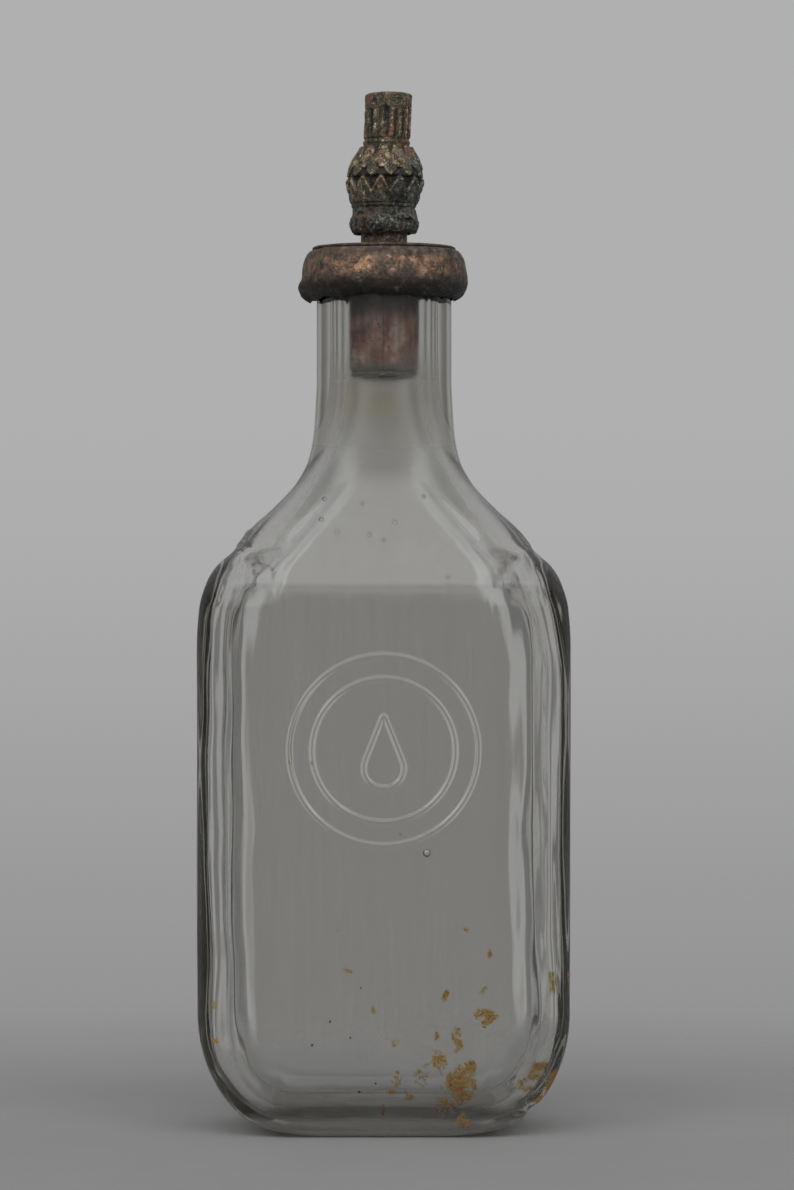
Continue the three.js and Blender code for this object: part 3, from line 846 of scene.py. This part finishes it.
def collar():
    outside = dense([(r, COLLAR_FOOT + h) for r, h in SKIRT + [(3.2, 10.5)]], 0.42)
    inside = dense([(r, COLLAR_FOOT + h) for r, h in SKIRT_INSIDE], 1.1)

    def relief(th, r, z):
        p = surface(r, th, z)
        h = z - COLLAR_FOOT
        rim = smoothstep(r, 9, 14)
        low = smoothstep(h, 2.8, 0)
        n = fbm(p, 0.11, 3, 2.0)
        m = fbm(p, 0.38, 2, 6.0)
        r = r + rim * (0.24 * n + 0.13 * m) + low * 0.12 * n
        z = z + low * rim * (0.55 * m - 0.1) + smoothstep(h, 8.3, 10.3) * 0.14 * n
        # the lip of the skirt is bent out at the lower left, and pinched under it
        bend = hump(th, 3.32, 0.17)
        z = z - bend * smoothstep(h, 3.4, 0.4) * 0.7
        r = r + bend * smoothstep(h, 4.4, 2.2) - bend * hump(h, 5.2, 0.9) * 0.45
        # a low seam down the front, a little left of the middle
        seam = hump(th, 4.67, 0.035) * smoothstep(h, 9.8, 8.6)
        return r - 0.12 * seam * rim, z

    return turned_grid(outside + inside, 240, relief)


place(grid_object("copper_collar", collar(), copper), "stopper", "collar_shell")


def plate():
    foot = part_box("top_plate")[0][2] / MM
    outline = [(3.1, 0.05), (15.2, 0.02), (15.45, 0.08), (15.5, 0.40), (15.25, 0.63), (3.1, 0.65)]
    outline = dense([(r, foot + h) for r, h in outline], 0.5)

    def relief(th, r, z):
        p = surface(r, th, 0 * z)
        n = fbm(p, 0.12, 2, 17.0)
        rim = smoothstep(r, 8, 15)
        return r + rim * 0.15 * n, z + rim * 0.05 * n

    return turned_grid(outline, 180, relief)


place(grid_object("brass_plate", plate(), copper), "stopper", "top_plate")


def cork_body():
    outline = dense([
        (3.1, 163.2), (6.9, 163.15), (7.25, 163.4), (7.45, 164.2), (7.52, 170), (7.6, 180), (7.65, 188.4),
        (3.1, 188.5)], 0.5)

    def relief(th, r, z):
        p = surface(r, th, z)
        n = fbm(p * np.array([1, 1, 0.4]), 0.3, 3, 5.0)
        return r - smoothstep(r, 6, 7) * 0.12 * np.abs(n), z + (z < 164) * 0.25 * n

    return turned_grid(outline, 160, relief)


place(grid_object("cork_plug", cork_body(), cork_material()), "stopper", "cork_sleeve")


def washer():
    outline = dense([
        (3.1, 162.3), (6.7, 162.2), (7.2, 162.4), (7.35, 162.7), (7.1, 163.0), (3.1, 163.05)], 0.4)

    def relief(th, r, z):
        p = surface(r, th, z)
        n = fbm(p, 0.5, 2, 8.0)
        pits = fbm(p, 1.3, 2, 3.0)
        rim = smoothstep(r, 4, 7)
        return r + rim * (0.22 * n - 0.15), z + rim * (0.30 * n - 0.05 + 0.2 * pits) - 0.1

    return turned_grid(outline, 120, relief)


place(grid_object("bottom_washer", washer(), washer_material()), "stopper", "base_washer")

# ---- Ornamental cap -------------------------------------------------------------------------------
PETALS = 12
CAP_WALL = 1.0
CAP_COLUMNS = 336
# Outline of the cup and the leaves, as (z, radius)
BULB = [
    (193.2, 6.6), (193.9, 7.2), (195.0, 7.5), (196.2, 7.35), (197.2, 6.95), (198.1, 6.8), (199.2, 7.1),
    (200.6, 7.55), (202, 7.7), (203.2, 7.95), (204.4, 8.1), (205.6, 7.95), (206.6, 7.7), (207.8, 7.3),
    (208.9, 6.85), (210, 6.25), (211, 5.6), (211.8, 5.2),
]


def petal_phase(th, offset):
    """Angular distance to the nearest petal's middle, in petal widths: -0.5 to 0.5."""
    u = (th + math.pi / 2) / TAU * PETALS + offset
    return u - np.round(u)


def bulb_relief(th, z):
    """(radial relief in mm, brightness 0-1) of the leaves, the zigzag and the cup."""
    u0 = np.abs(petal_phase(th, 0.2))
    u1 = 0.5 - u0
    # upper row: broad petals with round ends
    round_end = np.sqrt(np.clip(1 - (np.clip(209.3 - z, 0, 9) / 2.5) ** 2, 0, 1))
    w0 = 0.47 * round_end * np.clip(0.55 + (212.6 - z) * 0.18, 0.5, 1)
    in0 = smoothstep(w0 - u0, -0.02, 0.07) * (z > 206.7) * (z < 212.4)
    dome0 = 0.58 * in0 * (0.55 + 0.45 * np.clip(1 - (u0 / 0.47) ** 2, 0, 1))
    dome0 -= 0.10 * in0 * hump(u0, 0, 0.035) * smoothstep(z, 207.5, 209)
    # second row: pointed leaves showing between and below the petals
    w1 = 0.46 * np.clip((z - 205.0) / 2.2, 0, 1) ** 0.75
    in1 = smoothstep(w1 - u1, -0.02, 0.06) * (z > 205.0) * (z < 210)
    dome1 = 0.40 * in1 * (0.5 + 0.5 * np.clip(1 - (u1 / 0.3) ** 2, 0, 1))
    upper = np.where(in0 > 0.3, dome0, np.maximum(dome1, dome0))
    # zigzag: raised V ridges round the widest part, with deep triangles above them
    ridge_at = 0.5 * (1 - np.clip((z - 201.3) / 3.9, 0, 1))
    ridge = hump(u1, 0.5 - ridge_at, 0.085) * smoothstep(z, 200.9, 202.0) * (1 - smoothstep(z, 205.0, 205.6))
    below = (z < 205.1) * smoothstep(z, 201.6, 202.6)
    hollow = smoothstep((0.5 - ridge_at) - u1, 0.05, 0.16) * below
    lower = 0.42 * ridge - 0.45 * hollow
    # gadrooned cup and the fine ring lines under it
    cup = 0.10 * np.cos(u0 * TAU) * smoothstep(z, 199.2, 200.2) * (1 - smoothstep(z, 202, 203.5))
    rings = -0.13 * (hump(z, 199.35, 0.16) + hump(z, 198.45, 0.16))
    undercut = -0.30 * hump(z, 205.0, 0.35) * (1 - in1)
    relief = upper * smoothstep(z, 204.8, 205.3) + lower + cup + rings + undercut
    # the crests and the tips of the leaves are rubbed bright; painted highlights on the leaf tips and rims,
    # painted light on the left side and painted shade in the gaps between the leaves
    bright = 0.26 + 0.80 * np.clip(relief, -0.5, 0.6) + 0.30 * ridge
    bright += 0.42 * in1 * (1 - smoothstep(z, 205.2, 206.6))
    bright += 0.36 * in0 * (1 - smoothstep(z, 206.8, 208.0)) - 0.3 * (z > 205) * (1 - in0) * (1 - in1)
    bright += 0.22 * (hump(u0 - w0, -0.06, 0.045) * in0 + hump(u1 - w1, -0.06, 0.045) * in1 * (in0 < 0.5))
    left = smoothstep(-np.cos(th), -0.25, 0.35)
    bright += left * (0.22 * ridge + 0.30 * np.clip(cup / 0.10, 0, 1) + 0.10 * (z > 199.6) * (z < 205))
    worn_side = 0.5 + 0.5 * np.sin(3 * th + 1.9) * np.sin(5 * th + 0.4)
    return relief, np.clip(bright - 0.16 * (1 - worn_side), 0, 1)


def lean(grid):
    """The old cap is bent a little to the right above its cup."""
    grid[..., 0] += 0.045 * np.clip(grid[..., 2] - 200.5, 0, None)
    return grid


def corrode(points):
    """Lumps of corrosion, coarser on the lower right, and the noise behind them."""
    x, z = points[..., 0], points[..., 2]
    coarse = fbm(points, 0.45, 3, 4.0)
    fine = fbm(points, 1.5, 2, 23.0)
    right = smoothstep(x, -2, 5) * smoothstep(z, 207, 200)
    return coarse * (0.09 + 0.34 * right) + fine * (0.05 + 0.07 * right), coarse


def cap_ring(name, node, levels, cup):
    """One ring of the cap: the cup with its ragged foot, or the crown of leaves above it."""
    angles = np.arange(CAP_COLUMNS) / CAP_COLUMNS * TAU
    z, th = np.meshgrid(levels, angles, indexing="ij")
    relief, bright = bulb_relief(th, z)
    r = pchip(BULB, z) + relief
    points = surface(r, th, z)
    move, coarse = corrode(points)
    lumps = fbm(points, 0.16, 2, 13.0)
    nuggets = np.abs(fbm(points, 0.55, 3, 41.0))
    foot = 1 - smoothstep(z, 196.8, 198.2)
    r = r + move + foot * (0.30 * lumps - 0.45 * nuggets + 0.08)
    moved_z = z + (0.45 * lumps - 0.15) * (1 - smoothstep(z, 193.2, 195.2)) if cup else z
    # painted light and shade on the corrosion: lumps that stand out are lighter, pits on the foot darker
    bright = bright * (1 - 0.55 * foot) + foot * (0.30 - 0.5 * nuggets) + 0.22 * coarse
    keep = np.linspace(len(levels) - 1, 0, 8).astype(int)
    inner_r = pchip(BULB, z[keep]) - CAP_WALL
    inner_r = np.maximum(inner_r, 6.12) if cup else np.minimum(inner_r, 6.9)
    grid = np.concatenate([surface(r, th, moved_z), surface(inner_r, th[keep], moved_z[keep])])
    # painted shade: the inner faces are dark
    shade = np.concatenate([bright, np.full(inner_r.shape, 0.1)])
    place(grid_object(name, lean(grid), cast_brass, marks={"relief": shade}), "cap", node)


CUP_LEVELS = np.concatenate([np.linspace(193.15, 198, 34), np.linspace(198.12, 204.42, 58)])
cap_ring("cap_lower_cup", "cap_cup", CUP_LEVELS, cup=True)
cap_ring("cap_leaf_crown", "cap_leaf_shell", np.linspace(204.5, 211.75, 76), cup=False)


def stem():
    """Fluted stem: crisp ribs on the right, worn almost smooth on the left, a deep slot near the middle."""
    columns = 320
    flutes = 16
    angles = np.arange(columns) / columns * TAU
    levels = np.concatenate([[211.5], np.linspace(211.6, 219.9, 84), np.linspace(220, 222.9, 30)])
    z, th = np.meshgrid(levels, angles, indexing="ij")
    points = surface(5, th, z)
    x, y = points[..., 0], points[..., 1]
    n = fbm(points, 0.5, 3, 9.0)
    patch = fbm(points, 0.22, 2, 31.0)
    u = (th + math.pi / 2 - 0.20) / TAU * flutes
    u = u - np.round(u)
    front = smoothstep(y, 2, -2)
    crisp = np.clip(1 - 0.65 * front * smoothstep(x, 0.4, -0.8) + 0.5 * patch, 0.15, 1.1)
    rib = hump(u, 0, 0.17) * crisp
    zone = smoothstep(z, 213.3, 213.9) * (1 - smoothstep(z, 219.2 + 0.8 * patch, 220.6 + 0.8 * patch))
    slot = np.clip(np.abs(u) - 0.22, 0, 1) * 3.2 * zone * crisp
    depth = -0.40 * np.clip(slot, 0, 1) * (1 + 0.6 * smoothstep(z, 217, 219.4))
    gouge = hump(x, -0.45, 0.38) * smoothstep(z, 216.6, 217.6) * smoothstep(z, 221.0, 220.2)
    gouge += 0.8 * hump(x, -3.75, 0.3) * smoothstep(z, 215.6, 216.4) * smoothstep(z, 220.2, 219.4)
    depth = depth - 0.45 * front * gouge
    r = 4.95 + 0.20 * rib * zone + depth + 0.12 * smoothstep(z, 219.8, 220.6)
    r += 0.16 * hump(z, 212.7, 0.35) - 0.22 * hump(z, 213.4, 0.22)
    r += 0.09 * n + 0.05 * fbm(points, 1.5, 2, 27.0)
    # the ribs are rubbed bright; painted shade in the slots and gouges
    bright = 0.32 + 0.62 * rib * zone + depth + 0.12 * smoothstep(z, 219.8, 221) + 0.25 * n + 0.12 * patch

    def rings(outline):
        return np.array([surface(radius, angles, np.full(columns, height)) for radius, height in outline])

    tops = rings([(4.98, 223.0), (4.85, 223.15), (4.6, 223.28), (4.2, 223.4), (3.4, 223.53), (2.4, 223.63),
                  (1.2, 223.69), (0.4, 223.7)])
    lumps = fbm(tops, 0.5, 2, 9.0)
    tops[..., 2] += 0.05 * lumps
    bore = rings([(0.3, 222.4), (4.1, 222.3), (4.1, 211.5)])
    grid = np.concatenate([bore, surface(r, th, z), tops])
    # painted shade in the bore; on the top, lumps that stand up are painted a little lighter
    shade = np.concatenate([np.full((len(bore), columns), 0.1), bright, 0.5 + 0.2 * lumps])
    obj = grid_object("cap_fluted_stem", lean(grid), cast_brass, closed=False, caps=(True, True),
                      marks={"relief": np.clip(shade, 0, 1)})
    place(obj, "cap", "cap_stem")


stem()

# ---- CAD nodes shown as they are ------------------------------------------------------------------
for node, mat in (("spout_tube", plain_brass), ("cap_bush", plain_brass),
                  ("lip_gasket", leather), ("cap_liner", leather)):
    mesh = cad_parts[node].data
    mesh.materials.clear()
    mesh.materials.append(mat)

# --------------------------------------------------------------------------------------------------
# Floor, sky, camera
# --------------------------------------------------------------------------------------------------


def pale_floor():
    """A pale disc just under the bottle, which fades out towards its edge."""
    bpy.ops.mesh.primitive_circle_add(vertices=96, radius=0.42, fill_type="NGON", location=(0, 0, -0.0002))
    floor = bpy.context.object
    floor.name = "floor"
    s = new_material("pale_floor")
    x, y, _ = s.xyz()
    radius = s.vmath("DISTANCE", s.combine(x, y), (0.0, 0.0, 0.0))
    color = s.mix(s.noise(0.02, 4, 0.6), (0.30, 0.30, 0.305), (0.34, 0.34, 0.335))
    fade = s.node("ShaderNodeMixShader")
    s.feed(fade.inputs[0], s.span(radius, 90, 330))
    s.feed(fade.inputs[1], s.principled(Base_Color=color, Roughness=0.9))
    s.feed(fade.inputs[2], s.node("ShaderNodeBsdfTransparent").outputs[0])
    floor.data.materials.append(s.finish(fade.outputs[0]))


# Brightness of the studio's walls by degrees away from straight behind the bottle
WALLS = [
    (0, 0.24), (6, 0.25), (10, 0.42), (15, 0.42), (19, 0.20), (25, 0.17), (31, 0.40), (42, 0.42),
    (48, 0.22), (55, 0.20), (62, 0.38), (76, 0.36), (88, 0.08), (105, 0.07), (125, 0.22), (180, 0.28),
]
# The wall straight behind the bottle is a little warm
BEHIND = 10
WARM = (1.0, 0.98, 0.95)


def wall_color(degrees, level):
    tint = WARM if degrees < BEHIND else (1.0, 1.0, 1.0)
    return tuple(level * channel for channel in tint)


def soft_studio():
    """A pale plain ground for the eye; for reflections and refractions, soft walls with darker gaps."""
    world = bpy.data.worlds.new("soft_studio")
    bpy.context.scene.world = world
    s = Shade(world, "ShaderNodeOutputWorld")
    x, y, z = s.xyz(s.coord.outputs["Generated"])
    elevation = s.math("ARCSINE", z)
    # share of a half turn away from straight behind the bottle, the same to the left and to the right
    around = s.math("DIVIDE", s.math("ARCTAN2", s.math("ABSOLUTE", x), y), math.pi)
    walls = s.ramp(around, [(degrees / 180, wall_color(degrees, level)) for degrees, level in WALLS])
    ceiling = s.span(y, -0.15, -0.65, 0.42, 1.9)
    lamp = s.node("ShaderNodeBackground")
    s.feed(lamp.inputs["Color"], s.mix(s.span(elevation, 0.22, 0.45), walls, ceiling))
    plain = s.node("ShaderNodeBackground")
    horizon = s.span(elevation, -0.13, 0.05)
    s.feed(plain.inputs["Color"], s.mix(horizon, (0.275, 0.275, 0.28), (0.435, 0.435, 0.44)))
    pick = s.node("ShaderNodeMixShader")
    s.feed(pick.inputs[0], s.node("ShaderNodeLightPath").outputs["Is Camera Ray"])
    s.feed(pick.inputs[1], lamp.outputs[0])
    s.feed(pick.inputs[2], plain.outputs[0])
    s.finish(pick.outputs[0])


def front_camera():
    camera = bpy.data.cameras.new("camera")
    camera.lens = 136
    camera.sensor_width = 36
    camera.clip_start = 0.01
    camera.clip_end = 50
    eye = bpy.data.objects.new("camera", camera)
    eye.location = (0.0028, -0.973, 0.1149)
    eye.rotation_euler = (math.pi / 2, 0, 0)
    bpy.context.scene.collection.objects.link(eye)
    bpy.context.scene.camera = eye


pale_floor()
soft_studio()
front_camera()

bpy.context.scene.view_settings.view_transform = "Standard"
# light goes round many times inside the thick corners of the glass before it comes out
BOUNCES = 32
cycles = bpy.context.scene.cycles
cycles.max_bounces = BOUNCES
cycles.transmission_bounces = BOUNCES
cycles.glossy_bounces = BOUNCES
